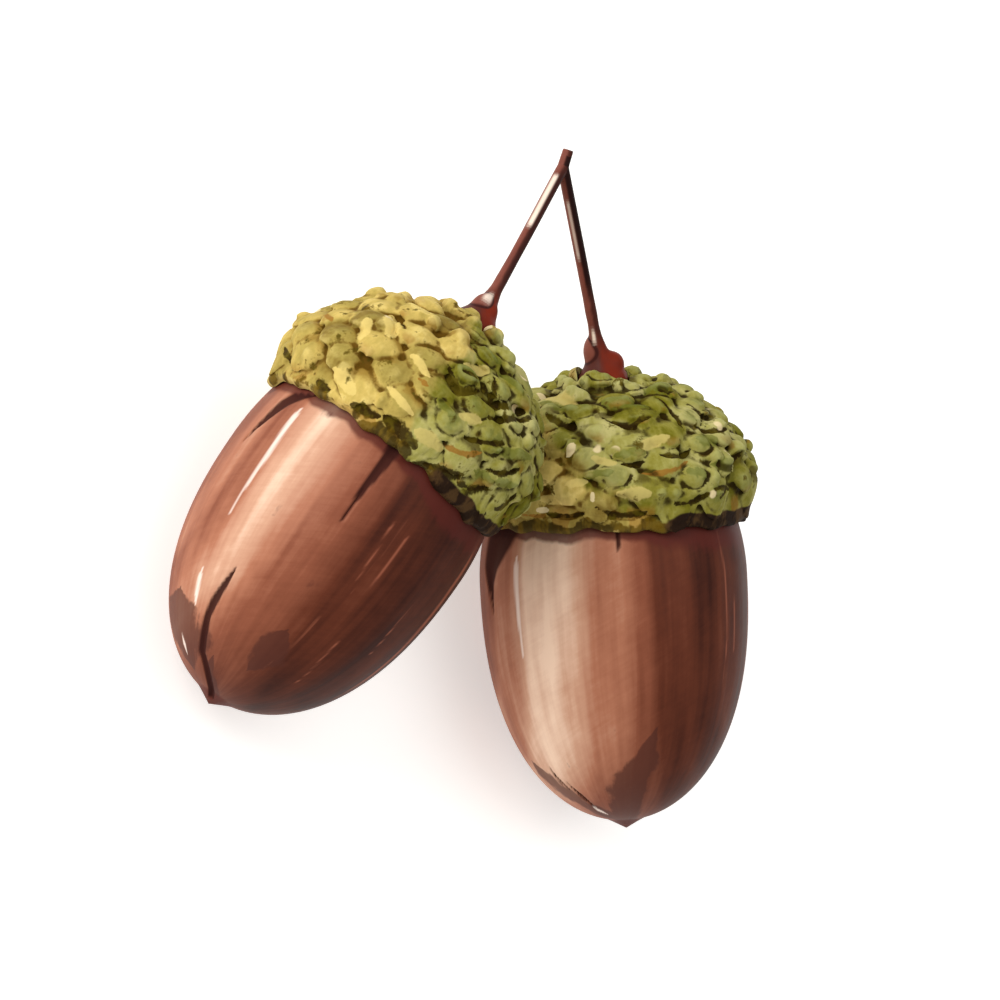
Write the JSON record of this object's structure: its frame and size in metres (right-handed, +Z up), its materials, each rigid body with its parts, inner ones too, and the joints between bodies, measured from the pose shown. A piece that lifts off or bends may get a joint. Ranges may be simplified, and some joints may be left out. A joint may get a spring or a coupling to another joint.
{
  "type": "acorn pair",
  "caption": "Acorns in scaly cups, joined by a thin forked stalk and lying on their sides, with glossy tapered nuts that end in a small point.",
  "frame": {"origin": "middle of the box round the pair, on the surface that it lies on", "axes": "+Z up from that surface; +Y from the pointed tips towards the stalk's cut end; +X from the left acorn to the right one, seen from above with the stalk at the top"},
  "size_m": [0.048, 0.0444, 0.0244],
  "materials": {
    "nut_left": "glossy reddish-brown shell",
    "nut_right": "glossy reddish-brown shell",
    "cup_left": "matt, knobbly, yellow-olive scales",
    "cup_right": "matt, knobbly, olive-green scales",
    "stalk": "smooth reddish-brown stem"
  },
  "bodies": {
    "root": {"nut_left": "nut_left", "nut_right": "nut_right", "cup_left": "cup_left", "cup_right": "cup_right", "stalk": "stalk"}
  },
  "joints": []
}
